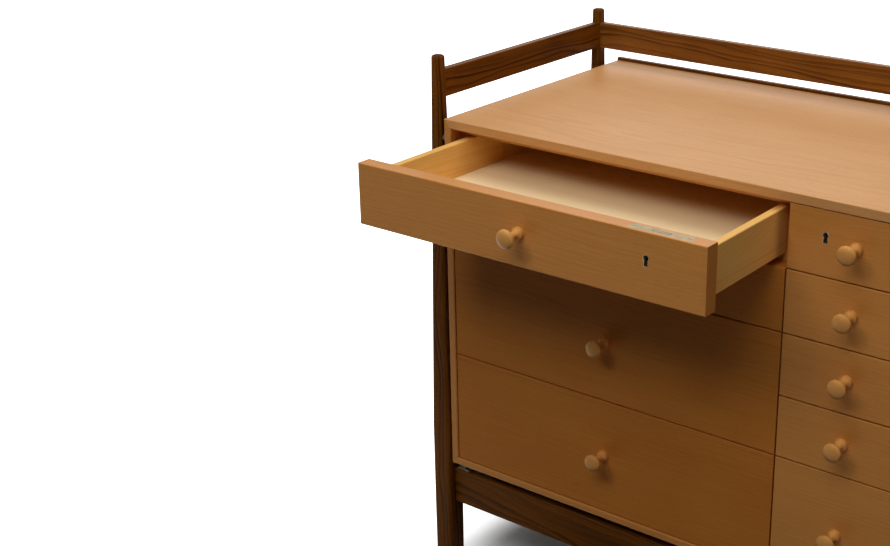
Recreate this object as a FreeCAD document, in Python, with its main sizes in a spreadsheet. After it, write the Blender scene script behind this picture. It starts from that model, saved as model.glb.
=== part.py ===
"""A cutlery chest: a light wooden case of nine drawers, hung in a walnut frame with tapering posts.

X runs across the width, Y from front to back and Z up, in millimetres. The origin is on the floor, at the
middle of the box round the whole chest, which stands with its top left drawer drawn out.
"""
import FreeCAD, Part
import math
import os
import re
import Sketcher
from FreeCAD import Placement, Rotation, Vector

SIZES = {
    # Case: outer size, the visible front edges of its boards, and how far the fronts lap over them
    "case_width": 768,
    "case_depth": 465,
    "case_height": 567,
    "leg_clear": 188,
    "top_edge": 13.6,
    "side_edge": 12,
    "bottom_edge": 11,
    "front_lap": 12,
    "housing": 6,
    "back_panel": 8,
    "case_soft": 1,
    "opening_bevel": 1.4,
    "lip_rise": 5,
    "lip_let": 4,
    "lip_thick": 9,
    # Columns and rows of drawers
    "column_seam": 565.5,
    "row_pitch": 90.2,
    "seam": 1.8,
    # One drawer
    "front_recess": 2,
    "front_thick": 23,
    "front_room": 0.6,
    "margin": 1,
    "front_soft": 1.2,
    "box_reach": 434,
    "box_gap": 1.2,
    "slide_gap": 0.5,
    "lift_gap": 2,
    "drawer_side": 12,
    "drawer_back": 10,
    "back_drop": 5,
    "side_soft": 1.6,
    "tongue": 8,
    "floor_thick": 5,
    "floor_up": 8,
    "floor_groove": 5,
    "drawn_out": 198,
    # Turned knob
    "knob_rise": 2.2,
    "knob_foot": 8.5,
    "knob_neck": 4.8,
    "knob_cove": 12,
    "cove_place": 14,
    "knob_head": 13,
    "head_half": 7,
    "head_place": 29,
    "knob_spigot": 4,
    "spigot_depth": 14,
    # Drawer lock and its keyhole, whose places are measured from the left end of the case
    "left_key": 480,
    "right_key": 618,
    "key_drop": 33,
    "key_round": 3.8,
    "key_waist": 2.2,
    "key_skirt": 3,
    "key_tail": 10.5,
    "liner_wall": 0.9,
    "plate_shift": 14.5,
    "plate_long": 90,
    "plate_wide": 14,
    "plate_thick": 2,
    "lock_wide": 50,
    "lock_shift": 6,
    "lock_drop": 46,
    "lock_wall": 1.6,
    "bolt_long": 24,
    "bolt_thick": 3,
    "bolt_drop": 26,
    "bolt_room": 0.9,
    "bolt_mortise": 9,
    "drill_pin": 1.2,
    "plate_screw": 1.8,
    "plate_screw_head": 3.2,
    "plate_screw_long": 14,
    "plate_screw_inset": 6,
    # Frame: posts, gallery rails above the case and base rails under it
    "post_out": 20,
    "post_in": 13.5,
    "back_post": 427,
    "post_rise": 91,
    "post_side": 35,
    "post_foot": 34,
    "post_tip": 17.4,
    "post_corner": 6,
    "post_dome": 4.5,
    "straight_low": 110,
    "straight_high": 245,
    "straight_tip": 8,
    "gallery_low": 26.5,
    "gallery_high": 68.5,
    "gallery_thick": 12.5,
    "base_gap": 16,
    "base_high": 60,
    "base_back": 4,
    "base_thick": 16,
    "rail_soft": 1.5,
    # Tenons: how far from the post's axis they start, and how much less than the rail they measure
    "gallery_root": 4.2,
    "gallery_slim": 5.5,
    "base_root": 8,
    "base_slim": 6,
    "tenon_step": 10,
    "tenon_past": 4,
    # Spacers and screws between the case and the frame
    "spacer_in": 12.5,
    "spacer_long": 23,
    "spacer_wide": 12,
    "spacer_plate": 3,
    "spacer_neck": 5,
    "base_screw": 2.5,
    "base_screw_head": 4.8,
    "screw_sink": 30,
    "screw_bite": 9,
    "stay_drop": 32,
    "stay_round": 6,
    "stay_sink": 2,
    "stay_screw": 1.6,
    "stay_screw_head": 3.2,
    "stay_bite": 6,
    "head_thick": 3,
    "slot_wide": 0.9,
    "slot_deep": 1,
}

doc = FreeCAD.newDocument("cutlery_chest")
sheet = doc.addObject("Spreadsheet::Sheet", "Sizes")
for row_number, (alias, size) in enumerate(SIZES.items(), start=1):
    sheet.set(f"A{row_number}", alias)
    sheet.set(f"B{row_number}", str(size))
    sheet.setAlias(f"B{row_number}", alias)
doc.recompute()

ALIAS = re.compile(r"\b(" + "|".join(SIZES) + r")\b")
nodes = []

# Starting sizes of a sketch, before its dimensions take hold
ROUGH_REACH = 10.0
ROUGH_ROUND = 6.0

# Places that many pieces share, as formulas on the sheet's names
FRONT = "((drawn_out + head_place + head_half - case_depth) / 2)"
CASE_TOP = "(leg_clear + case_height)"
LEFT = "(side_edge - case_width / 2)"
SEAM = "(column_seam - case_width / 2)"
RIGHT = "(case_width / 2 - side_edge)"
INNER_LOW = "(leg_clear + bottom_edge + front_lap)"
INNER_HIGH = f"({CASE_TOP} - top_edge - front_lap)"
INNER_BACK = f"({FRONT} + case_depth - back_panel)"
REBATE_DEPTH = "(front_recess + front_thick + front_room)"
POST_X = {"left": "(0 - case_width / 2 - post_out)", "right": "(case_width / 2 + post_out)"}
POST_Y = {"front": f"({FRONT} + post_in)", "back": f"({FRONT} + back_post)"}
# The front and back base rails stand further in than the posts' axes
BASE_Y = {"front": f"({FRONT} + post_in + base_back)", "back": f"({FRONT} + back_post - base_back)"}

FORWARD = Rotation(Vector(1, 0, 0), 90)
ACROSS = Rotation(Vector(0, 1, 0), 90)
UPRIGHT = Rotation()


def linked(formula):
    """The formula with each of its size names pointing at the sheet."""
    return ALIAS.sub(r"Sizes.\1", str(formula))


def named(kind, label):
    made = doc.addObject(kind, label)
    made.Label = label
    return made


def place(piece, corner, turn=UPRIGHT):
    """Puts the piece's own origin at a corner given as three formulas."""
    piece.Placement = Placement(Vector(), turn)
    for axis, formula in zip("xyz", corner):
        piece.setExpression(f"Placement.Base.{axis}", linked(formula))
    return piece


def bind(piece, **formulas):
    for prop, formula in formulas.items():
        piece.setExpression(prop, linked(formula))
    return piece


def keep(piece):
    """Marks a piece as a node of the chest."""
    nodes.append(piece)
    return piece


def box(label, corner, size):
    length, width, height = size
    made = bind(named("Part::Box", label), Length=length, Width=width, Height=height)
    return place(made, corner)


def rod(label, start, radius, height, turn=UPRIGHT):
    made = bind(named("Part::Cylinder", label), Radius=radius, Height=height)
    return place(made, start, turn)


def fused(label, pieces):
    made = named("Part::MultiFuse", label)
    made.Shapes = pieces
    made.Refine = True
    return made


def cut(label, base, tools):
    """The base with every tool taken out of it."""
    made = named("Part::Cut", label)
    made.Base = base
    made.Tool = tools[0] if len(tools) == 1 else fused(label + "_tools", tools)
    made.Refine = True
    return made


def group(label, pieces):
    """Several separate solids in one node."""
    made = named("Part::Compound", label)
    made.Links = pieces
    return made


def plane_of(body, role):
    return next(feature for feature in body.Origin.OriginFeatures if feature.Role == role)


def soft_box(label, corner, size, touched, radius):
    """A block whose edges picked by touched(start, end) are rounded."""
    body = named("PartDesign::Body", label)
    length, width, height = size
    solid = body.newObject("PartDesign::AdditiveBox", label + "_solid")
    bind(solid, Length=length, Width=width, Height=height)
    doc.recompute()
    picked = []
    for number, edge in enumerate(solid.Shape.Edges, start=1):
        start, end = (vertex.Point for vertex in edge.Vertexes)
        if touched(start, end):
            picked.append(f"Edge{number}")
    fillet = body.newObject("PartDesign::Fillet", label + "_round")
    fillet.Base = (solid, picked)
    bind(fillet, Radius=radius)
    body.Tip = fillet
    return place(body, corner)


def outline(body, name, corners):
    """A closed outline of straight edges in the body's XZ plane, each corner held by two formulas."""
    sketch = body.newObject("Sketcher::SketchObject", name)
    sketch.AttachmentSupport = [(plane_of(body, "XZ_Plane"), "")]
    sketch.MapMode = "FlatFace"
    count = len(corners)
    turn = 2 * math.pi / count
    rough = [Vector(math.cos(turn * i), math.sin(turn * i), 0) * ROUGH_REACH for i in range(count)]
    for index in range(count):
        sketch.addGeometry(Part.LineSegment(rough[index], rough[(index + 1) % count]), False)
    for index in range(count):
        sketch.addConstraint(Sketcher.Constraint("Coincident", index, 2, (index + 1) % count, 1))
    for index, (across, up) in enumerate(corners):
        held = (("DistanceX", across, rough[index].x), ("DistanceY", up, rough[index].y))
        for kind, formula, start in held:
            number = sketch.addConstraint(Sketcher.Constraint(kind, index, 1, start))
            sketch.renameConstraint(number, f"{kind}_{index}")
            sketch.setExpression(f"Constraints.{kind}_{index}", linked(formula))
    return sketch


def prism(label, corners, depth, place_at, soft=None):
    """An outline in XZ carried back along Y. soft rounds the first side's edges in front and behind."""
    body = named("PartDesign::Body", label)
    sketch = outline(body, label + "_outline", corners)
    pad = body.newObject("PartDesign::Pad", label + "_pad")
    pad.Profile = sketch
    pad.Reversed = True
    bind(pad, Length=depth)
    body.Tip = pad
    if soft:
        doc.recompute()
        first = sketch.Shape.Edges[0]
        ends = sorted((vertex.Point.x, vertex.Point.z) for vertex in first.Vertexes)
        picked = []
        for number, edge in enumerate(pad.Shape.Edges, start=1):
            points = [vertex.Point for vertex in edge.Vertexes]
            found = sorted((point.x, point.z) for point in points)
            if math.dist(found[0], ends[0]) + math.dist(found[1], ends[1]) < 0.01:
                picked.append(f"Edge{number}")
        fillet = body.newObject("PartDesign::Fillet", label + "_round")
        fillet.Base = (pad, picked)
        bind(fillet, Radius=soft)
        body.Tip = fillet
    return place(body, place_at)


def rounded_square(body, name, side, height):
    """A square section with round corners, centred on the body's axis at a height."""
    sketch = body.newObject("Sketcher::SketchObject", name)
    sketch.AttachmentSupport = [(plane_of(body, "XY_Plane"), "")]
    sketch.MapMode = "FlatFace"
    sketch.setExpression("AttachmentOffset.Base.z", linked(height))
    quarter = math.pi / 2
    signs = ((1, 1), (-1, 1), (-1, -1), (1, -1))
    for turn, (sx, sy) in enumerate(signs):
        middle = Vector(sx * ROUGH_REACH, sy * ROUGH_REACH, 0)
        circle = Part.Circle(middle, Vector(0, 0, 1), ROUGH_ROUND)
        sketch.addGeometry(Part.ArcOfCircle(circle, turn * quarter, (turn + 1) * quarter), False)
    for turn in range(4):
        sx, sy = signs[turn]
        nx, ny = signs[(turn + 1) % 4]
        angle = (turn + 1) * quarter
        away = Vector(math.cos(angle), math.sin(angle), 0) * ROUGH_ROUND
        start = Vector(sx * ROUGH_REACH, sy * ROUGH_REACH, 0) + away
        end = Vector(nx * ROUGH_REACH, ny * ROUGH_REACH, 0) + away
        sketch.addGeometry(Part.LineSegment(start, end), False)
    for turn in range(4):
        sketch.addConstraint(Sketcher.Constraint("Tangent", turn, 2, 4 + turn, 1))
        sketch.addConstraint(Sketcher.Constraint("Tangent", 4 + turn, 2, (turn + 1) % 4, 1))
    half = f"({side}) / 2 - post_corner"
    for turn, (sx, sy) in enumerate(signs):
        for kind, sign in (("DistanceX", sx), ("DistanceY", sy)):
            number = sketch.addConstraint(Sketcher.Constraint(kind, turn, 3, sign * ROUGH_REACH))
            sketch.renameConstraint(number, f"{kind}_{turn}")
            sketch.setExpression(f"Constraints.{kind}_{turn}", linked(f"{sign} * ({half})"))
        number = sketch.addConstraint(Sketcher.Constraint("Radius", turn, ROUGH_ROUND))
        sketch.renameConstraint(number, f"Radius_{turn}")
        sketch.setExpression(f"Constraints.Radius_{turn}", linked("post_corner"))
    return sketch


def post_blank(label, x, y):
    """A post: it widens from the foot, runs straight past the base rails and tapers to a domed tip."""
    body = named("PartDesign::Body", label)
    shoulder = f"({CASE_TOP} + post_rise - straight_tip)"
    stations = (
        ("post_foot", "0"),
        ("post_side", "straight_low"),
        ("post_side", "straight_high"),
        ("post_tip", shoulder),
    )
    sections = [
        rounded_square(body, f"{label}_section_{number}", side, height)
        for number, (side, height) in enumerate(stations)
    ]
    loft = body.newObject("PartDesign::AdditiveLoft", label + "_loft")
    loft.Profile = sections[0]
    loft.Sections = sections[1:]
    loft.Ruled = True
    pad = body.newObject("PartDesign::Pad", label + "_tip")
    pad.Profile = rounded_square(body, label + "_tip_section", "post_tip", shoulder)
    bind(pad, Length="straight_tip")
    doc.recompute()
    tip = max(pad.Shape.Faces, key=lambda face: face.CenterOfMass.z)
    picked = [
        f"Edge{number}"
        for number, edge in enumerate(pad.Shape.Edges, start=1)
        if any(edge.isSame(other) for other in tip.Edges)
    ]
    dome = body.newObject("PartDesign::Fillet", label + "_dome")
    dome.Base = (pad, picked)
    bind(dome, Radius="post_dome")
    body.Tip = dome
    return place(body, (x, y, "0"))


def rail_parts(name, x_span, y_span, z_low, z_high, root, slim):
    """A rail along X or Y between two posts' axes: its blank and the two tenons at its ends."""
    high = f"({z_high} - {z_low})"
    along_x = x_span[0] != x_span[1]
    thick = "gallery_thick" if slim == "gallery_slim" else "base_thick"
    step = f"({z_low} + tenon_step / 2)"
    tenon_high = f"({high} - tenon_step)"
    reach = "(post_side / 2 + tenon_past)"
    if along_x:
        length = f"({x_span[1]} - {x_span[0]})"
        corner = (x_span[0], f"({y_span[0]} - {thick} / 2)", z_low)
        blank = soft_box(
            name + "_blank", corner, (length, thick, high), lambda a, b: abs(a.x - b.x) > 1, "rail_soft"
        )
        size = (f"({reach} - {root})", f"({thick} - {slim})", tenon_high)
        y_low = f"({y_span[0]} - ({thick} - {slim}) / 2)"
        starts = (f"({x_span[0]} + {root})", f"({x_span[1]} - {reach})")
        tenons = [box(f"{name}_tenon_{n}", (x, y_low, step), size) for n, x in enumerate(starts)]
    else:
        length = f"({y_span[1]} - {y_span[0]})"
        corner = (f"({x_span[0]} - {thick} / 2)", y_span[0], z_low)
        blank = soft_box(
            name + "_blank", corner, (thick, length, high), lambda a, b: abs(a.y - b.y) > 1, "rail_soft"
        )
        size = (f"({thick} - {slim})", f"({reach} - {root})", tenon_high)
        x_low = f"({x_span[0]} - ({thick} - {slim}) / 2)"
        starts = (f"({y_span[0]} + {root})", f"({y_span[1]} - {reach})")
        tenons = [box(f"{name}_tenon_{n}", (x_low, y, step), size) for n, y in enumerate(starts)]
    return blank, tenons


def frame():
    """Posts, rails, spacers and screws. Returns the screws, which the case's boards are bored for."""
    corners = [(depth, side) for depth in ("front", "back") for side in ("left", "right")]
    blanks = {
        (depth, side): post_blank(f"post_{depth}_{side}_blank", POST_X[side], POST_Y[depth])
        for depth, side in corners
    }
    gallery_span = (f"({CASE_TOP} + gallery_low)", f"({CASE_TOP} + gallery_high)")
    gallery = (*gallery_span, "gallery_root", "gallery_slim")
    base = ("(leg_clear - base_gap - base_high)", "(leg_clear - base_gap)", "base_root", "base_slim")
    across = (POST_X["left"], POST_X["right"])
    deep = (POST_Y["front"], POST_Y["back"])
    ends_left = (("front", "left"), ("back", "left"))
    ends_right = (("front", "right"), ("back", "right"))
    ends_front = (("front", "left"), ("front", "right"))
    ends_back = (("back", "left"), ("back", "right"))
    at_left, at_right = (POST_X["left"],) * 2, (POST_X["right"],) * 2
    at_back = (POST_Y["back"],) * 2
    base_front, base_back = (BASE_Y["front"],) * 2, (BASE_Y["back"],) * 2
    runs = {
        "gallery_rail_left": (at_left, deep, gallery, ends_left),
        "gallery_rail_right": (at_right, deep, gallery, ends_right),
        "gallery_rail_back": (across, at_back, gallery, ends_back),
        "base_rail_front": (across, base_front, base, ends_front),
        "base_rail_back": (across, base_back, base, ends_back),
        "base_rail_left": (at_left, deep, base, ends_left),
        "base_rail_right": (at_right, deep, base, ends_right),
    }
    stays, spacers, base_screws, fixings, bores = [], [], [], [], []
    stay_at = {}
    for depth, side in corners:
        inward = 1 if side == "left" else -1
        edge = f"({-inward} * case_width / 2)"
        name = f"{depth}_{side}"
        x = f"({edge} + {inward} * spacer_in)"
        y = BASE_Y[depth]
        rail_top = "(leg_clear - base_gap)"
        spacer_solid = fused(
            f"spacer_{name}_solid",
            [
                box(
                    f"spacer_plate_{name}",
                    (f"({x} - spacer_long / 2)", f"({y} - spacer_wide / 2)", rail_top),
                    ("spacer_long", "spacer_wide", "spacer_plate"),
                ),
                rod(f"spacer_neck_{name}", (x, y, rail_top), "spacer_neck", "base_gap"),
            ],
        )
        sunk = f"({rail_top} - base_high + screw_sink)"
        shank_long = "base_high - screw_sink + base_gap + screw_bite"
        screw = fused(
            f"base_screw_{name}",
            [
                rod(f"base_shank_{name}", (x, y, sunk), "base_screw", shank_long),
                rod(f"base_head_{name}", (x, y, sunk), "base_screw_head", "head_thick"),
            ],
        )
        slot = box(
            f"base_slot_{name}",
            (f"({x} - base_screw_head)", f"({y} - slot_wide / 2)", sunk),
            ("2 * base_screw_head", "slot_wide", "slot_deep"),
        )
        bore = rod(
            f"base_bore_{name}", (x, y, f"({rail_top} - base_high)"), "base_screw_head", "screw_sink"
        )
        spacers.append(cut(f"spacer_{name}", spacer_solid, [screw]))
        base_screws.append(screw)
        fixings.append(cut(f"base_screw_{name}_slotted", screw, [slot]))
        bores.append((depth, bore, screw))
        # A stay is a short round spacer let into the post, with a screw through the case side
        y = POST_Y[depth]
        stay_z = f"({CASE_TOP} - stay_drop)"
        tip_share = f"(({stay_z} - straight_high) / ({CASE_TOP} + post_rise - straight_high))"
        post_half = f"((post_side - (post_side - post_tip) * {tip_share}) / 2)"
        stay_long = f"(post_out - {post_half} + stay_sink)"
        # In front the screw's head lies in the rebate, behind it in the board's full thickness
        board = "side_edge" if depth == "front" else "(side_edge + front_lap)"
        screw_long = f"({board} + {stay_long} + stay_bite)"
        if side == "left":
            stay_start = f"({edge} - {stay_long})"
            screw_start = f"({edge} + {board} - {screw_long})"
            head_start = f"({edge} + {board} - head_thick)"
        else:
            stay_start = edge
            screw_start = f"({edge} - {board})"
            head_start = screw_start
        stay = rod(f"stay_{name}_solid", (stay_start, y, stay_z), "stay_round", stay_long, ACROSS)
        stay_screw = fused(
            f"stay_screw_{name}",
            [
                rod(f"stay_shank_{name}", (screw_start, y, stay_z), "stay_screw", screw_long, ACROSS),
                rod(f"stay_head_{name}", (head_start, y, stay_z), "stay_screw_head", "head_thick", ACROSS),
            ],
        )
        stays.append(cut(f"stay_{name}", stay, [stay_screw]))
        stay_at[depth, side] = [stay, stay_screw]
        slot_x = f"({head_start} + head_thick - slot_deep)" if side == "left" else head_start
        slot = box(
            f"stay_slot_{name}",
            (slot_x, f"({y} - stay_screw_head)", f"({stay_z} - slot_wide / 2)"),
            ("slot_deep", "2 * stay_screw_head", "slot_wide"),
        )
        fixings.append(cut(f"stay_screw_{name}_slotted", stay_screw, [slot]))

    mortises = {corner: list(stay_at[corner]) for corner in corners}
    for name, (x_span, y_span, (low, high, root, slim), ends) in runs.items():
        blank, tenons = rail_parts(name, x_span, y_span, low, high, root, slim)
        for corner, tenon in zip(ends, tenons):
            mortises[corner].append(tenon)
        between = cut(name + "_between", blank, [blanks[corner] for corner in ends])
        joined = [between, *tenons]
        holes = []
        for depth, bore, screw in bores:
            if name == f"base_rail_{depth}":
                holes += [bore, screw]
        if holes:
            keep(cut(name, fused(name + "_joined", joined), holes))
        else:
            keep(fused(name, joined))
    for (depth, side), tools in mortises.items():
        keep(cut(f"post_{depth}_{side}", blanks[depth, side], tools))
    keep(group("frame_spacers", spacers + stays))
    keep(group("frame_screws", fixings))
    return base_screws, stay_at


def row_top(row):
    """The height of the seam above a row, counted from 0 at the top."""
    return f"({CASE_TOP} - top_edge - {row} * row_pitch)"


def divider(name, x_low, x_high, row):
    corner = (x_low, f"({FRONT} + {REBATE_DEPTH})", f"({row_top(row)} - front_lap)")
    size = (f"({x_high} - {x_low})", f"({INNER_BACK} - {FRONT} - {REBATE_DEPTH})", "2 * front_lap")
    return box(name, corner, size)


def opening_bevel():
    """A frustum that narrows inwards and bevels the case's opening all round."""
    low, high = "(leg_clear + bottom_edge)", f"({CASE_TOP} - top_edge)"
    wider = "(opening_bevel + margin)"
    made = bind(
        named("Part::Wedge", "opening_bevel"),
        Xmin=f"{LEFT} - {wider}",
        Xmax=f"{RIGHT} + {wider}",
        X2min=LEFT,
        X2max=RIGHT,
        Ymin="0 - margin",
        Ymax="opening_bevel",
        Zmin=f"{low} - {wider}",
        Zmax=f"{high} + {wider}",
        Z2min=low,
        Z2max=high,
    )
    return place(made, ("0", FRONT, "0"))


def case(base_screws, stay_at):
    """The mitred case boards, the partition, the dividers, the back panel and the lip."""
    edge_low, edge_high = "(0 - case_width / 2)", "(case_width / 2)"
    wall = "(side_edge + front_lap)"
    in_left, in_right = f"({edge_low} + {wall})", f"({edge_high} - {wall})"
    low, high = "leg_clear", CASE_TOP
    front_corner = ("0", FRONT, "0")
    rebate = box(
        "front_rebate",
        (LEFT, f"({FRONT} - margin)", "(leg_clear + bottom_edge)"),
        (f"({RIGHT} - {LEFT})", f"({REBATE_DEPTH} + margin)", "(case_height - top_edge - bottom_edge)"),
    )
    bevel = opening_bevel()
    left = [
        divider(f"divider_left_{row}", f"({in_left} - housing)", f"({SEAM} - front_lap + housing)", row)
        for row in (1, 2, 4)
    ]
    right = [
        divider(f"divider_right_{row}", f"({SEAM} + front_lap - housing)", f"({in_right} + housing)", row)
        for row in (1, 2, 3, 4)
    ]
    partition = box(
        "partition_blank",
        (f"({SEAM} - front_lap)", f"({FRONT} + {REBATE_DEPTH})", f"({INNER_LOW} - housing)"),
        (
            "2 * front_lap",
            f"({INNER_BACK} - {FRONT} - {REBATE_DEPTH})",
            f"({INNER_HIGH} - {INNER_LOW} + 2 * housing)",
        ),
    )
    mortises = [
        box(
            f"bolt_mortise_{side}",
            (
                f"({key} - case_width / 2 + plate_shift - bolt_long / 2 - 2 * bolt_room)",
                f"({FRONT} + front_recess + front_thick / 2 - bolt_thick / 2 - 2 * bolt_room)",
                f"({CASE_TOP} - top_edge - margin)",
            ),
            ("(bolt_long + 4 * bolt_room)", "(bolt_thick + 4 * bolt_room)", "(bolt_mortise + margin)"),
        )
        for side, key in (("left", "left_key"), ("right", "right_key"))
    ]
    top = prism(
        "case_top_blank",
        ((edge_low, high), (edge_high, high), (in_right, INNER_HIGH), (in_left, INNER_HIGH)),
        "case_depth",
        front_corner,
        "case_soft",
    )
    bottom = prism(
        "case_bottom_blank",
        ((edge_low, low), (edge_high, low), (in_right, INNER_LOW), (in_left, INNER_LOW)),
        "case_depth",
        front_corner,
        "case_soft",
    )
    side_left = prism(
        "case_side_left_blank",
        ((edge_low, low), (edge_low, high), (in_left, INNER_HIGH), (in_left, INNER_LOW)),
        "case_depth",
        front_corner,
        "case_soft",
    )
    side_right = prism(
        "case_side_right_blank",
        ((edge_high, low), (edge_high, high), (in_right, INNER_HIGH), (in_right, INNER_LOW)),
        "case_depth",
        front_corner,
        "case_soft",
    )
    lip = soft_box(
        "top_lip",
        (edge_low, f"({FRONT} + case_depth - lip_thick)", f"({high} - lip_let)"),
        ("case_width", "lip_thick", "(lip_rise + lip_let)"),
        lambda a, b: min(a.z, b.z) > 1 and abs(a.x - b.x) > 1,
        "side_soft",
    )
    keep(lip)
    stay_screws = {"left": [], "right": []}
    for (_, side), (_, screw) in stay_at.items():
        stay_screws[side].append(screw)
    lip_room = box(
        "lip_rebate",
        (f"({edge_low} - margin)", f"({FRONT} + case_depth - lip_thick)", f"({high} - lip_let)"),
        ("(case_width + 2 * margin)", "(lip_thick + margin)", "(lip_let + margin)"),
    )
    keep(cut("case_top", top, [rebate, bevel, partition, lip_room, *mortises]))
    keep(cut("case_bottom", bottom, [rebate, bevel, partition, *base_screws]))
    keep(cut("case_side_left", side_left, [rebate, bevel, lip_room, *left, *stay_screws["left"]]))
    keep(cut("case_side_right", side_right, [rebate, bevel, lip_room, *right, *stay_screws["right"]]))
    keep(cut("case_partition", partition, left + right))
    keep(group("dividers_left", left))
    keep(group("dividers_right", right))
    keep(
        box(
            "case_back",
            (in_left, INNER_BACK, INNER_LOW),
            (f"({in_right} - {in_left})", "back_panel", f"({INNER_HIGH} - {INNER_LOW})"),
        )
    )


def knob(label, x, y, z):
    """A turned knob: a spigot glued into the front, a coved foot and a flattened round head."""
    foot = rod(label + "_foot", (x, y, z), "knob_foot", "head_place - head_half / 2", FORWARD)
    cove = bind(named("Part::Torus", label + "_cove"), Radius1="knob_neck + knob_cove", Radius2="knob_cove")
    place(cove, (x, f"({y} - cove_place)", z), FORWARD)
    head = named("Part::Ellipsoid", label + "_head")
    bind(head, Radius1="head_half", Radius2="knob_head", Radius3="knob_head")
    place(head, (x, f"({y} - head_place)", z), FORWARD)
    spigot_start = (x, f"({y} + spigot_depth)", z)
    spigot = rod(label + "_spigot", spigot_start, "knob_spigot", "spigot_depth + margin", FORWARD)
    keep(fused(label, [cut(label + "_turned", foot, [cove]), head, spigot]))
    return spigot


def keyhole(label, x, y, z, grow, depth):
    """A keyhole's solid, carried back along Y: a round head over a skirt that widens downwards."""
    round_part = rod(label + "_round", (x, f"({y} + {depth})", z), f"(key_round + {grow})", depth, FORWARD)
    tail = f"(0 - key_tail - {grow})"
    skirt = prism(
        label + "_skirt",
        (
            (f"(0 - key_waist - {grow})", "0"),
            (f"(key_waist + {grow})", "0"),
            (f"(key_skirt + {grow})", tail),
            (f"(0 - key_skirt - {grow})", tail),
        ),
        depth,
        (x, y, z),
    )
    return fused(label, [round_part, skirt])


def lock(name, key, y, top):
    """A drawer lock mortised into the front's top edge. Returns the pieces that the front is cut for."""
    key_x = f"({key} - case_width / 2)"
    plate_x = f"({key_x} + plate_shift)"
    key_z = f"({top} - key_drop)"
    middle = f"({y} + front_thick / 2)"
    lock_y = f"({middle} - plate_wide / 2)"
    liner_deep = "((front_thick - plate_wide) / 2)"
    liner_outer = keyhole(name + "_liner_outer", key_x, y, key_z, "liner_wall", liner_deep)
    passage_deep = f"({liner_deep} + lock_wall + 2 * margin)"
    passage = keyhole(name + "_passage", key_x, f"({y} - margin)", key_z, "0", passage_deep)
    keep(cut(name + "_keyhole_liner", liner_outer, [passage]))

    lock_x = f"({key_x} + lock_shift)"
    case_low = f"({top} - lock_drop)"
    outer = box(
        name + "_case_outer",
        (f"({lock_x} - lock_wide / 2)", lock_y, case_low),
        ("lock_wide", "plate_wide", "(lock_drop - plate_thick)"),
    )
    hollow = box(
        name + "_case_hollow",
        (f"({lock_x} - lock_wide / 2 + lock_wall)", f"({lock_y} + lock_wall)", f"({case_low} + lock_wall)"),
        (
            "(lock_wide - 2 * lock_wall)",
            "(plate_wide - 2 * lock_wall)",
            "(lock_drop - plate_thick - lock_wall)",
        ),
    )
    plate = box(
        name + "_plate",
        (f"({plate_x} - plate_long / 2)", lock_y, f"({top} - plate_thick)"),
        ("plate_long", "plate_wide", "plate_thick"),
    )
    bolt_slot = box(
        name + "_slot",
        (
            f"({plate_x} - bolt_long / 2 - bolt_room)",
            f"({middle} - bolt_thick / 2 - bolt_room)",
            f"({top} - 2 * plate_thick)",
        ),
        ("(bolt_long + 2 * bolt_room)", "(bolt_thick + 2 * bolt_room)", "3 * plate_thick"),
    )
    screws = []
    slotted = []
    for side, sign in (("low", -1), ("high", 1)):
        x = f"({plate_x} + {sign} * (plate_long / 2 - plate_screw_inset))"
        tip = (x, middle, f"({top} - plate_screw_long)")
        shank = rod(f"{name}_shank_{side}", tip, "plate_screw", "plate_screw_long")
        head = named("Part::Cone", f"{name}_head_{side}")
        bind(head, Radius1="plate_screw", Radius2="plate_screw_head", Height="plate_thick")
        place(head, (x, middle, f"({top} - plate_thick)"))
        screw = fused(f"{name}_screw_{side}", [shank, head])
        slot = box(
            f"{name}_screw_slot_{side}",
            (f"({x} - plate_screw_head)", f"({middle} - slot_wide / 2)", f"({top} - slot_deep)"),
            ("2 * plate_screw_head", "slot_wide", "slot_deep"),
        )
        screws.append(screw)
        slotted.append(cut(f"{name}_screw_{side}_slotted", screw, [slot]))
    pin = rod(
        name + "_drill_pin",
        (key_x, f"({lock_y} + plate_wide - lock_wall / 2)", key_z),
        "drill_pin",
        "(plate_wide - 1.5 * lock_wall)",
        FORWARD,
    )
    solid = fused(name + "_solid", [outer, plate])
    shell = cut(name + "_shell", solid, [hollow, bolt_slot, passage, *screws])
    keep(fused(name + "_case", [shell, pin]))
    keep(
        box(
            name + "_bolt",
            (f"({plate_x} - bolt_long / 2)", f"({middle} - bolt_thick / 2)", f"({top} - bolt_drop)"),
            ("bolt_long", "bolt_thick", "bolt_drop"),
        )
    )
    keep(group(name + "_screws", slotted))
    return [liner_outer, outer, plate, *screws]


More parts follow.
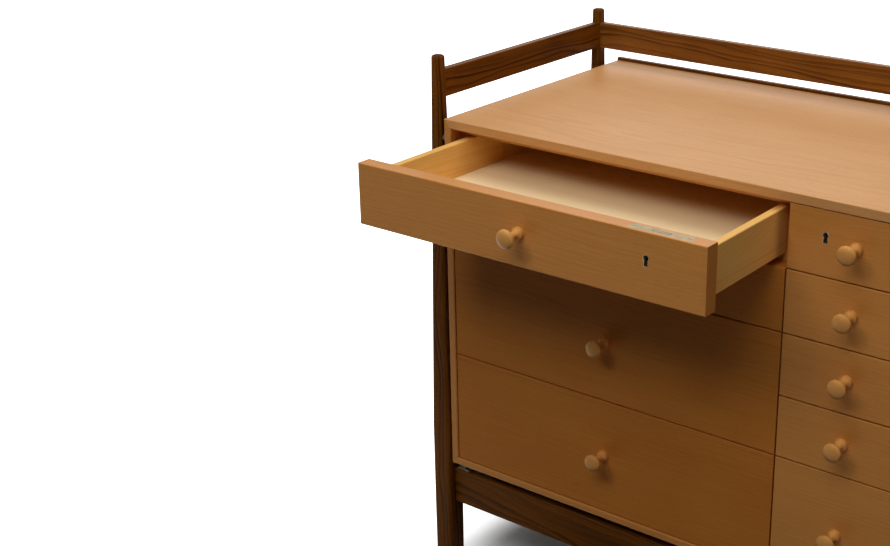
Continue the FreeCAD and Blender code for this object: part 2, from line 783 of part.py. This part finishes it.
def drawer(name, left, right, top, bottom, drawn, separate=False, key=None):
    """One drawer between four seams. drawn moves it forward; separate keeps each board as its own node."""
    y = f"({FRONT} + front_recess - {drawn})"
    inner = f"({y} + front_thick)"
    back = f"({y} + box_reach)"
    low = f"({bottom} + front_lap + slide_gap)"
    high = f"({top} - front_lap - lift_gap)"
    box_left = f"({left} + front_lap + box_gap)"
    box_right = f"({right} - front_lap - box_gap)"
    side_size = ("drawer_side", f"({back} - {inner} + tongue)", f"({high} - {low})")
    side_starts = {"left": box_left, "right": f"({box_right} - drawer_side)"}
    floor_low = f"({low} + floor_up)"
    floor = box(
        f"{name}_floor",
        (f"({box_left} + drawer_side - floor_groove)", f"({inner} - floor_groove)", floor_low),
        (
            f"({box_right} - {box_left} - 2 * drawer_side + 2 * floor_groove)",
            f"({back} - {inner} + floor_groove)",
            "floor_thick",
        ),
    )
    sides = {}
    for side, x in side_starts.items():
        blank = soft_box(
            f"{name}_side_{side}_blank",
            (x, f"({inner} - tongue)", low),
            side_size,
            lambda a, b: min(a.z, b.z) > 1 and abs(a.y - b.y) > 1,
            "side_soft",
        )
        sides[side] = cut(f"{name}_side_{side}", blank, [floor])
    rear_low = f"({floor_low} + floor_thick)"
    rear = soft_box(
        f"{name}_back",
        (f"({box_left} + drawer_side)", f"({back} - drawer_back)", rear_low),
        (
            f"({box_right} - {box_left} - 2 * drawer_side)",
            "drawer_back",
            f"({high} - back_drop - {rear_low})",
        ),
        lambda a, b: min(a.z, b.z) > 1 and abs(a.x - b.x) > 1,
        "side_soft",
    )
    front_x = f"({left} + seam / 2)"
    front_z = f"({bottom} + seam / 2)"
    blank = soft_box(
        f"{name}_front_blank",
        (front_x, y, front_z),
        (f"({right} - {left} - seam)", "front_thick", f"({top} - {bottom} - seam)"),
        lambda a, b: max(a.y, b.y) < 0.5,
        "front_soft",
    )
    knob_z = f"(({top} + {bottom}) / 2 + knob_rise)"
    spigot = knob(f"{name}_knob", f"(({left} + {right}) / 2)", y, knob_z)
    tools = [sides["left"], sides["right"], floor, spigot]
    if key:
        tools += lock(f"{name}_lock", key, y, f"({top} - seam / 2)")
    keep(cut(f"{name}_front", blank, tools))
    boards = [sides["left"], sides["right"], rear, floor]
    if separate:
        for board in boards:
            keep(board)
    else:
        keep(group(f"{name}_box", boards))


def drawers():
    lowest = "(leg_clear + bottom_edge)"
    left_rows = ((0, 1), (1, 2), (2, 4), (4, None))
    right_rows = ((0, 1), (1, 2), (2, 3), (3, 4), (4, None))
    for column, rows, left, right in (("left", left_rows, LEFT, SEAM), ("right", right_rows, SEAM, RIGHT)):
        for number, (above, below) in enumerate(rows, start=1):
            first = number == 1
            drawer(
                f"drawer_{column}_{number}",
                left,
                right,
                row_top(above),
                lowest if below is None else row_top(below),
                "(drawn_out + front_recess)" if column == "left" and first else "0",
                separate=column == "left" and first,
                key=f"{column}_key" if first else None,
            )


def check_and_write():
    """Stops at any failed object or shape, then writes each node."""
    for made in doc.Objects:
        if "Invalid" in made.State or "Error" in made.State:
            raise RuntimeError(f"{made.Label}: {made.State}")
    os.makedirs("parts", exist_ok=True)
    for node in nodes:
        shape = node.Shape
        if shape.isNull() or not shape.isValid() or not shape.Solids:
            raise RuntimeError(f"{node.Label} has no valid solid")
    for node in nodes:
        node.Shape.exportStep(f"parts/{node.Label}.step")
    print(len(nodes), "nodes")


case(*frame())
drawers()
doc.recompute()
check_and_write()
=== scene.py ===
"""A cutlery chest in a plain white studio: its woods, its metal fittings, the light and the camera.

Lengths are in metres, in the chest's own frame: X across it, Y from front to back, Z up from the floor.
"""
import math

import bpy
from mathutils import Matrix, Vector

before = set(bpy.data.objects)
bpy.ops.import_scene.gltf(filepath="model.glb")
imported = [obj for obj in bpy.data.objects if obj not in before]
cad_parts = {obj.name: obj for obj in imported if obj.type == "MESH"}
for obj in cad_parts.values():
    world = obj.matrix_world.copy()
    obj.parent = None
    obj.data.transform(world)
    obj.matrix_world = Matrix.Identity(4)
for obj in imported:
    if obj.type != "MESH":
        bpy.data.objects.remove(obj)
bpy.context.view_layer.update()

# The view: which way the camera looks in degrees, where it stands, its lens in millimetres and its shift
VIEW_TURN = 35.83
VIEW_DROP = 20.39
VIEW_ROLL = 0.17
VIEW_PLACE = (0.9876, -1.7240, 1.3497)
VIEW_LENS = 60.31
VIEW_SHIFT = (-0.1292, -0.0371)
SENSOR_WIDTH = 36.0

# Each lamp: where it hangs, what it points at, its size and its power in watts
LAMPS = {
    "key": ((-0.6, -2.3, 2.6), (0.0, -0.1, 0.5), (0.8, 0.8), 15.0),
    "front": ((0.5, -1.9, 2.9), (0.0, -0.1, 0.5), (1.5, 1.3), 22.0),
    "overhead": ((-0.1, 0.2, 2.9), (0.0, 0.1, 0.7), (2.0, 1.6), 27.0),
    "overhead right": ((1.3, -0.4, 2.5), (0.0, 0.0, 0.6), (1.8, 1.8), 7.0),
    "back": ((-1.6, 2.8, 1.6), (0.0, 0.3, 0.4), (1.6, 1.6), 12.0),
}

# The floor: half its side, its colour as seen and as it throws light back, and its finish
FLOOR_REACH = 12.0
FLOOR_PALE = (0.85, 0.85, 0.85, 1.0)
FLOOR_BOUNCE = (0.05, 0.04, 0.03, 1.0)
FLOOR_ROUGHNESS = 0.9
# Its glow rises in two steps with the distance from a middle: up to a haze, then on by a whole white. The low
# glow round the middle is painted shade about the chest, and the lamps' own shadow of the chest falls within it
FLOOR_MIDDLE = (0.0, 0.02, 0.0)
FLOOR_NEAR = (0.355, 0.445)
FLOOR_FAR = (0.42, 0.60)
FLOOR_GLOW = 0.03
FLOOR_HAZE = 0.90

WHITE = (1.0, 1.0, 1.0, 1.0)
# What the white surroundings throw on the chest, beside the 1 with which they are seen
WORLD_LIGHT = 0.012

MM_PER_METRE = 1000.0

# The figure of all woods, in millimetres. A noise's pace is how fast it runs along the grain and across it
SEED_STEP = (311.0, 83.0, 47.0)
PITH = (0.0, 190.0, 120.0)
BEND_PACE = (0.0022, 0.011, 0.011)
RIPPLE_PACE = (0.009, 0.05, 0.05)
RIPPLE_SHARE = 0.12
FIBRE_PACE = (0.012, 0.75, 0.75)
FIBRE_EDGE = 0.6
PORE_PACE = (0.09, 1.9, 1.9)
PORE_LIMITS = (0.60, 0.72)
MOTTLE_PACE = (0.006, 0.012, 0.012)
# The years, seen outwards: how their widths and strengths change, and where late wood peaks and ends
WIDTH_PACE = (0.11, 0.0, 0.0)
WIDTH_YEARS = 3.0
STRENGTH_PACE = (0.077, 0.0, 0.0)
STRENGTH_LIMITS = (0.35, 0.65)
STRENGTH_LEAST = 0.35
STRENGTH_SPAN = 0.8
LATE_POWER = 2.2
LATE_END = 0.9
# What a board is with no figure at all, where its end grain starts and how far it goes to the dark colours
BASE_TONE = 0.25
END_LIMITS = (0.6, 0.85)
END_DARK = 0.55
END_PORE = 0.22
# What pores and fibre add to the roughness, and what fibre and late wood do to the relief
PORE_ROUGHNESS = 0.18
FIBRE_ROUGHNESS = 0.08
FIBRE_RELIEF = 0.35
LATE_RELIEF = 0.25
WOOD_BUMP = {"Strength": 0.35, "Distance": 0.0004}

# The figure of all metals
SCRATCH_PACE = (0.25, 6.0, 6.0)
SCRATCH_EDGE = 0.7
PATCH_PACE = (0.12, 0.12, 0.12)
PATCH_LIMITS = (0.35, 0.7)
WEAR_ROUGHNESS = 0.16
METAL_BUMP = {"Strength": 0.2, "Distance": 0.0001}

# Which coordinate lies along the grain, then the two across it
GRAIN_ORDER = {"X": "XYZ", "Y": "YXZ", "Z": "ZXY"}

# The wood of each fixed piece, and the axis along its grain
CASE_BOARDS = {
    "case_top": ("top wood", "X"), "case_bottom": ("case wood", "X"), "case_side_left": ("case wood", "Z"),
    "case_side_right": ("case wood", "Z"), "case_partition": ("case wood", "Z"), "case_back": ("case wood", "X"),
    "dividers_left": ("case wood", "X"), "dividers_right": ("case wood", "X"),
}
FRAME_BOARDS = {
    "post_front_left": ("walnut", "Z"), "post_front_right": ("walnut", "Z"),
    "post_back_left": ("walnut", "Z"), "post_back_right": ("walnut", "Z"),
    "gallery_rail_left": ("walnut", "Y"), "gallery_rail_right": ("walnut", "Y"),
    "gallery_rail_back": ("pale walnut", "X"),
    "base_rail_front": ("walnut", "X"), "base_rail_back": ("walnut", "X"),
    "base_rail_left": ("walnut", "Y"), "base_rail_right": ("walnut", "Y"),
    "top_lip": ("pale walnut", "X"),
}
# The same for the pieces of a drawer. The lower fronts on the left get a darker, redder copy of the case's wood:
# painted shade, deepening the shadow of the open drawer above them
DRAWER_BOARDS = {
    "front": ("case wood", "X"), "knob": ("turned wood", "Y"), "box": ("drawer wood", "Y"),
    "side_left": ("drawer wood", "Y"), "side_right": ("drawer wood", "Y"), "back": ("drawer wood", "X"),
    "floor": ("floor wood", "X"),
}
SHADE_PAINTED_FRONTS = ("drawer_left_2_front", "drawer_left_3_front", "drawer_left_4_front")
# The first seeds of the case, of the frame and of the drawers. Each piece or drawer has its own stretch of a tree
CASE_SEED = 1
FRAME_SEED = 21
DRAWER_SEED = 40


def colour(red, green, blue):
    """A colour as the eye reads it, 0 to 255, made linear."""
    def linear(level):
        share = level / 255
        return share / 12.92 if share <= 0.04045 else ((share + 0.055) / 1.055) ** 2.4
    return (linear(red), linear(green), linear(blue), 1.0)


# The grain of the case's wood and of walnut. Ring and Bend are in millimetres
CASE_GRAIN = {
    "Ring": 3.4, "Bend": 26.0, "Contrast": 0.30, "Fibre": 0.75, "Pores": 0.22, "Mottle": 0.55, "End": 0.85,
}
WALNUT_GRAIN = {
    "Ring": 6.5, "Bend": 60.0, "Contrast": 0.85, "Fibre": 0.80, "Pores": 0.45, "Mottle": 0.90, "End": 0.8,
    "Dullness": 0.36,
}
# Each wood: its light, dark and pore colours, and its grain
WOODS = {
    "case wood": {
        "Light": colour(210, 143, 69), "Dark": colour(180, 109, 42), "Pore": colour(126, 70, 22),
        "Dullness": 0.38, **CASE_GRAIN,
    },
    # The case's wood made darker and redder: painted shade for the lower left fronts
    "deep wood": {
        "Light": colour(206, 131, 52), "Dark": colour(175, 97, 30), "Pore": colour(121, 62, 15),
        "Dullness": 0.38, **CASE_GRAIN,
    },
    # The case's wood painted lighter and paler for the top: a painted sheen of the overhead light, beside the
    # top's real sheen
    "top wood": {
        "Light": colour(212, 156, 96), "Dark": colour(184, 125, 65), "Pore": colour(130, 80, 34),
        "Dullness": 0.46, **CASE_GRAIN,
    },
    "walnut": {
        "Light": colour(132, 76, 18), "Dark": colour(48, 24, 3), "Pore": colour(20, 9, 1), **WALNUT_GRAIN,
    },
    "pale walnut": {
        "Light": colour(150, 92, 32), "Dark": colour(70, 36, 9), "Pore": colour(34, 15, 4), **WALNUT_GRAIN,
    },
    "drawer wood": {
        "Light": colour(247, 196, 114), "Dark": colour(227, 160, 72), "Pore": colour(184, 114, 44),
        "Ring": 4.2, "Bend": 40.0, "Contrast": 0.40, "Fibre": 0.45, "Pores": 0.12, "Mottle": 0.50,
        "End": 0.8, "Dullness": 0.50,
    },
    "floor wood": {
        "Light": colour(252, 228, 182), "Dark": colour(240, 204, 146), "Pore": colour(206, 158, 98),
        "Ring": 9.0, "Bend": 90.0, "Contrast": 0.22, "Fibre": 0.35, "Pores": 0.08, "Mottle": 0.45,
        "End": 0.8, "Dullness": 0.50,
    },
    "turned wood": {
        "Light": colour(224, 162, 86), "Dark": colour(192, 128, 58), "Pore": colour(152, 94, 38),
        "Ring": 2.6, "Bend": 8.0, "Contrast": 0.40, "Fibre": 0.40, "Pores": 0.20, "Mottle": 0.40,
        "End": 0.4, "Dullness": 0.32,
    },
}
# How much each wood mirrors, under its lacquer. The top is polished most
SHEEN = {
    "case wood": 0.15, "deep wood": 0.07, "top wood": 0.22, "walnut": 0.03, "pale walnut": 0.08,
    "drawer wood": 0.08, "floor wood": 0.03, "turned wood": 0.14,
}


class Graph:
    """A small hand for wiring the nodes of one tree."""

    def __init__(self, tree):
        self.tree = tree

    def add(self, kind, inputs=None, **settings):
        node = self.tree.nodes.new(kind)
        for name, value in settings.items():
            setattr(node, name, value)
        for name, value in (inputs or {}).items():
            self.feed(node.inputs[name], value)
        return node

    def feed(self, socket, value):
        """A socket takes another node's output, or a plain value."""
        if isinstance(value, bpy.types.NodeSocket):
            self.tree.links.new(value, socket)
        else:
            socket.default_value = value

    def math(self, operation, first, second=0.0, clamp=False):
        node = self.add("ShaderNodeMath", {0: first, 1: second}, operation=operation, use_clamp=clamp)
        return node.outputs[0]

    def plus(self, first, second):
        return self.math("ADD", first, second)

    def times(self, first, second):
        return self.math("MULTIPLY", first, second)

    def swing(self, noise, amount):
        """The noise's swing round its middle, times an amount."""
        return self.times(self.math("SUBTRACT", noise, 0.5), amount)

    def vector(self, operation, first, second):
        return self.add("ShaderNodeVectorMath", {0: first, 1: second}, operation=operation).outputs["Vector"]

    def length(self, vector):
        return self.add("ShaderNodeVectorMath", {0: vector}, operation="LENGTH").outputs["Value"]

    def noise(self, vector, pace, detail, roughness=0.5):
        paced = self.vector("MULTIPLY", vector, pace)
        inputs = {"Vector": paced, "Scale": 1.0, "Detail": detail, "Roughness": roughness}
        return self.add("ShaderNodeTexNoise", inputs).outputs["Fac"]

    def between(self, value, low, high, start=0.0, end=1.0):
        """The value's place between low and high, eased, from start to end."""
        inputs = {"Value": value, "From Min": low, "From Max": high, "To Min": start, "To Max": end}
        return self.add("ShaderNodeMapRange", inputs, interpolation_type="SMOOTHSTEP").outputs["Result"]

    def mix(self, share, first, second):
        node = self.add("ShaderNodeMix", data_type="RGBA")
        self.feed(node.inputs["Factor"], share)
        self.feed(node.inputs["A"], first)
        self.feed(node.inputs["B"], second)
        return node.outputs["Result"]


def new_group(name, colours, values):
    """A node group with a vector, colours and values to fill in, which gives a colour, roughness and height."""
    group = bpy.data.node_groups.new(name, "ShaderNodeTree")
    sockets = [("Vector", "INPUT", "NodeSocketVector")]
    sockets += [(label, "INPUT", "NodeSocketColor") for label in colours]
    sockets += [(label, "INPUT", "NodeSocketFloat") for label in values]
    sockets += [("Color", "OUTPUT", "NodeSocketColor")]
    sockets += [(label, "OUTPUT", "NodeSocketFloat") for label in ("Roughness", "Height")]
    for label, side, kind in sockets:
        group.interface.new_socket(label, in_out=side, socket_type=kind)
    graph = Graph(group)
    given = graph.add("NodeGroupInput").outputs
    taken = graph.add("NodeGroupOutput").inputs
    return group, graph, given, taken


def timber_group():
    """Sawn wood, with the grain along the vector's X.

    Rings are circles round a far-off pith, bent by slow noise. Each ring darkens towards its late wood. Fine
    fibre, pores and flecks are noise drawn out along the grain. Cut across, the same rings show darker as end
    grain.
    """
    values = ("Facing", "Seed", "Ring", "Bend", "Contrast", "Fibre", "Pores", "Mottle", "End", "Dullness")
    group, graph, given, taken = new_group("Timber", ("Light", "Dark", "Pore"), values)
    shift = graph.add("ShaderNodeVectorMath", {0: SEED_STEP, "Scale": given["Seed"]}, operation="SCALE")
    placed = graph.vector("MULTIPLY", given["Vector"], (MM_PER_METRE,) * 3)
    placed = graph.vector("ADD", placed, shift.outputs["Vector"])

    # The rings' radius, bent along the board by two sizes of slow noise
    bend = graph.swing(graph.noise(placed, BEND_PACE, 2.0), given["Bend"])
    ripple = graph.swing(graph.noise(placed, RIPPLE_PACE, 1.0), graph.times(given["Bend"], RIPPLE_SHARE))
    across = graph.vector("MULTIPLY", placed, (0.0, 1.0, 1.0))
    reach = graph.length(graph.vector("ADD", across, PITH))
    radius = graph.plus(graph.plus(reach, bend), ripple)

    # Late wood rises slowly through each year and ends at once, in strong years and weak ones
    outward = graph.add("ShaderNodeCombineXYZ", {"X": radius}).outputs["Vector"]
    uneven = graph.times(graph.noise(outward, WIDTH_PACE, 2.0), WIDTH_YEARS)
    part_year = graph.math("FRACT", graph.plus(graph.math("DIVIDE", radius, given["Ring"]), uneven))
    late = graph.times(graph.math("POWER", part_year, LATE_POWER), graph.between(part_year, 1.0, LATE_END))
    strength = graph.between(graph.noise(outward, STRENGTH_PACE, 1.0), *STRENGTH_LIMITS)
    late = graph.times(late, graph.plus(graph.times(strength, STRENGTH_SPAN), STRENGTH_LEAST))

    # Fine fibre, pores and slow changes of tone
    fibre = graph.noise(placed, FIBRE_PACE, 3.0, FIBRE_EDGE)
    pores = graph.times(graph.between(graph.noise(placed, PORE_PACE, 1.0), *PORE_LIMITS), given["Pores"])
    mottle = graph.noise(placed, MOTTLE_PACE, 2.0)

    tone = graph.plus(graph.times(late, given["Contrast"]), graph.swing(fibre, given["Fibre"]))
    tone = graph.plus(tone, graph.swing(mottle, given["Mottle"]))
    tone = graph.math("ADD", tone, BASE_TONE, clamp=True)
    face = graph.mix(pores, graph.mix(tone, given["Light"], given["Dark"]), given["Pore"])
    cut_across = graph.between(graph.math("ABSOLUTE", given["Facing"]), *END_LIMITS)
    end_grain = graph.mix(END_PORE, graph.mix(END_DARK, face, given["Dark"]), given["Pore"])
    graph.feed(taken["Color"], graph.mix(graph.times(cut_across, given["End"]), face, end_grain))

    rough = graph.plus(given["Dullness"], graph.times(pores, PORE_ROUGHNESS))
    graph.feed(taken["Roughness"], graph.plus(rough, graph.times(fibre, FIBRE_ROUGHNESS)))
    relief = graph.math("SUBTRACT", graph.times(fibre, FIBRE_RELIEF), pores)
    graph.feed(taken["Height"], graph.math("SUBTRACT", relief, graph.times(late, LATE_RELIEF)))
    return group


def brushed_group():
    """Drawn metal: fine scratches along one axis, with slow dull patches."""
    group, graph, given, taken = new_group("Brushed", ("Bright", "Dull"), ("Dullness",))
    placed = graph.vector("MULTIPLY", given["Vector"], (MM_PER_METRE,) * 3)
    scratch = graph.noise(placed, SCRATCH_PACE, 2.0, SCRATCH_EDGE)
    patch = graph.noise(placed, PATCH_PACE, 3.0)
    graph.feed(taken["Color"], graph.mix(graph.between(patch, *PATCH_LIMITS), given["Bright"], given["Dull"]))
    wear = graph.times(graph.plus(scratch, patch), WEAR_ROUGHNESS)
    graph.feed(taken["Roughness"], graph.plus(given["Dullness"], wear))
    graph.feed(taken["Height"], scratch)
    return group


TIMBER = timber_group()
BRUSHED = brushed_group()


def new_material(name):
    made = bpy.data.materials.new(name)
    made.use_nodes = True
    return made, Graph(made.node_tree), made.node_tree.nodes["Principled BSDF"]


def finish(graph, shader, group, values, bump):
    """The group's colour, roughness and height, wired to the shader."""
    figure = graph.add("ShaderNodeGroup", values, node_tree=group).outputs
    relief = graph.add("ShaderNodeBump", {"Height": figure["Height"], **bump}).outputs["Normal"]
    graph.feed(shader.inputs["Base Color"], figure["Color"])
    graph.feed(shader.inputs["Roughness"], figure["Roughness"])
    graph.feed(shader.inputs["Normal"], relief)


def wood(kind, grain, seed):
    """A lacquered board of that wood, with its grain along an axis. The seed picks a stretch of the tree."""
    name = f"{kind} {grain} {seed}"
    if name in bpy.data.materials:
        return bpy.data.materials[name]
    made, graph, shader = new_material(name)
    where = graph.add("ShaderNodeTexCoord").outputs
    parts = graph.add("ShaderNodeSeparateXYZ", {0: where["Object"]}).outputs
    facing = graph.add("ShaderNodeSeparateXYZ", {0: where["Normal"]}).outputs
    along = {at: parts[axis] for at, axis in zip("XYZ", GRAIN_ORDER[grain])}
    turned = graph.add("ShaderNodeCombineXYZ", along).outputs["Vector"]
    values = {"Vector": turned, "Facing": facing[grain], "Seed": float(seed), **WOODS[kind]}
    finish(graph, shader, TIMBER, values, WOOD_BUMP)
    shader.inputs["Specular IOR Level"].default_value = SHEEN[kind]
    return made


def metal(name, bright, dull, dullness):
    made, graph, shader = new_material(name)
    where = graph.add("ShaderNodeTexCoord").outputs["Object"]
    values = {"Vector": where, "Bright": bright, "Dull": dull, "Dullness": dullness}
    finish(graph, shader, BRUSHED, values, METAL_BUMP)
    shader.inputs["Metallic"].default_value = 1.0
    return made


def dress(node, material):
    """Gives a node of the frame its finish, and leaves its shape as it is."""
    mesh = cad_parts[node].data
    mesh.materials.clear()
    mesh.materials.append(material)


def dress_boards(boards, first_seed):
    for seed, (node, (kind, grain)) in enumerate(boards.items(), start=first_seed):
        dress(node, wood(kind, grain, seed))


def dress_drawers():
    """The wooden pieces of a drawer share its seed."""
    seeds = {}
    for node in sorted(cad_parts):
        if not node.startswith("drawer_"):
            continue
        column, row, piece = node.split("_", 3)[1:]
        seed = seeds.setdefault((column, row), DRAWER_SEED + len(seeds))
        if piece in DRAWER_BOARDS:
            kind, grain = DRAWER_BOARDS[piece]
            dress(node, wood("deep wood" if node in SHADE_PAINTED_FRONTS else kind, grain, seed))


def dress_metal():
    steel = metal("lock steel", colour(156, 142, 112), colour(144, 130, 102), 0.42)
    dark = metal("liner steel", colour(118, 104, 84), colour(92, 80, 62), 0.45)
    # The spacers' metal is painted dark: painted shade for the shaded gaps they sit in
    shade_dark_metal = metal("spacer zinc", colour(92, 82, 68), colour(68, 60, 48), 0.42)
    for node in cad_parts:
        if node.endswith("_liner"):
            dress(node, dark)
        elif "_lock_" in node or node == "frame_screws":
            dress(node, steel)
    dress("frame_spacers", shade_dark_metal)


def seen_directly(graph):
    """1 for what the camera sees straight, in a mirror or through glass, and 0 for light that falls on things."""
    path = graph.add("ShaderNodeLightPath").outputs
    seen = graph.math("MAXIMUM", path["Is Camera Ray"], path["Is Glossy Ray"])
    return graph.math("MAXIMUM", seen, path["Is Transmission Ray"])


def studio_floor():
    """A pale floor that goes over into a white background. Its glow is held low round the chest, a painted shade,
    and within it the floor keeps the lamps' shadow of the chest.
    """
    mesh = bpy.data.meshes.new("studio_floor")
    corners = [(-1, -1), (1, -1), (1, 1), (-1, 1)]
    mesh.from_pydata([(x * FLOOR_REACH, y * FLOOR_REACH, 0) for x, y in corners], [], [range(4)])
    floor = bpy.data.objects.new("studio_floor", mesh)
    bpy.context.scene.collection.objects.link(floor)
    paint, graph, shader = new_material("studio floor")
    seen = seen_directly(graph)
    where = graph.add("ShaderNodeTexCoord").outputs["Object"]
    away = graph.length(graph.vector("SUBTRACT", where, FLOOR_MIDDLE))
    # The near step starts from a low glow: painted shade round the chest
    near = graph.between(away, *FLOOR_NEAR, FLOOR_GLOW, FLOOR_HAZE)
    far = graph.between(away, *FLOOR_FAR)
    graph.feed(shader.inputs["Base Color"], graph.mix(seen, FLOOR_BOUNCE, FLOOR_PALE))
    graph.feed(shader.inputs["Emission Strength"], graph.times(graph.plus(near, far), seen))
    shader.inputs["Emission Color"].default_value = WHITE
    shader.inputs["Roughness"].default_value = FLOOR_ROUGHNESS
    shader.inputs["Specular IOR Level"].default_value = 0.0
    mesh.materials.append(paint)


def surroundings():
    """White where they are seen, and nearly dark for the light that falls on things."""
    world = bpy.data.worlds.new("studio")
    bpy.context.scene.world = world
    world.use_nodes = True
    graph = Graph(world.node_tree)
    background = world.node_tree.nodes["Background"]
    background.inputs["Color"].default_value = WHITE
    strength = graph.between(seen_directly(graph), 0.0, 1.0, WORLD_LIGHT, 1.0)
    graph.feed(background.inputs["Strength"], strength)


def light():
    for name, (place, target, (width, height), watts) in LAMPS.items():
        lamp = bpy.data.lights.new(name, "AREA")
        lamp.shape = "RECTANGLE"
        lamp.size = width
        lamp.size_y = height
        lamp.energy = watts
        holder = bpy.data.objects.new(name, lamp)
        holder.location = place
        aim = Vector(target) - Vector(place)
        holder.rotation_euler = aim.to_track_quat("-Z", "Y").to_euler()
        bpy.context.scene.collection.objects.link(holder)


def camera():
    """Looks along a direction given by its turn from +Y and its drop, rolled a little, as a held camera is."""
    turn, drop, roll = (math.radians(angle) for angle in (VIEW_TURN, VIEW_DROP, VIEW_ROLL))
    ahead = Vector((-math.sin(turn) * math.cos(drop), math.cos(turn) * math.cos(drop), -math.sin(drop)))
    level = Vector((math.cos(turn), math.sin(turn), 0.0))
    upward = level.cross(ahead)
    right = level * math.cos(roll) + upward * math.sin(roll)
    up = upward * math.cos(roll) - level * math.sin(roll)
    lens = bpy.data.cameras.new("camera")
    lens.sensor_width = SENSOR_WIDTH
    lens.lens = VIEW_LENS
    lens.shift_x, lens.shift_y = VIEW_SHIFT
    holder = bpy.data.objects.new("camera", lens)
    facing = Matrix((right, up, -ahead)).transposed()
    holder.matrix_world = Matrix.Translation(VIEW_PLACE) @ facing.to_4x4()
    bpy.context.scene.collection.objects.link(holder)
    bpy.context.scene.camera = holder


dress_boards(CASE_BOARDS, CASE_SEED)
dress_boards(FRAME_BOARDS, FRAME_SEED)
dress_drawers()
dress_metal()
studio_floor()
surroundings()
light()
camera()
bpy.context.scene.view_settings.view_transform = "Standard"
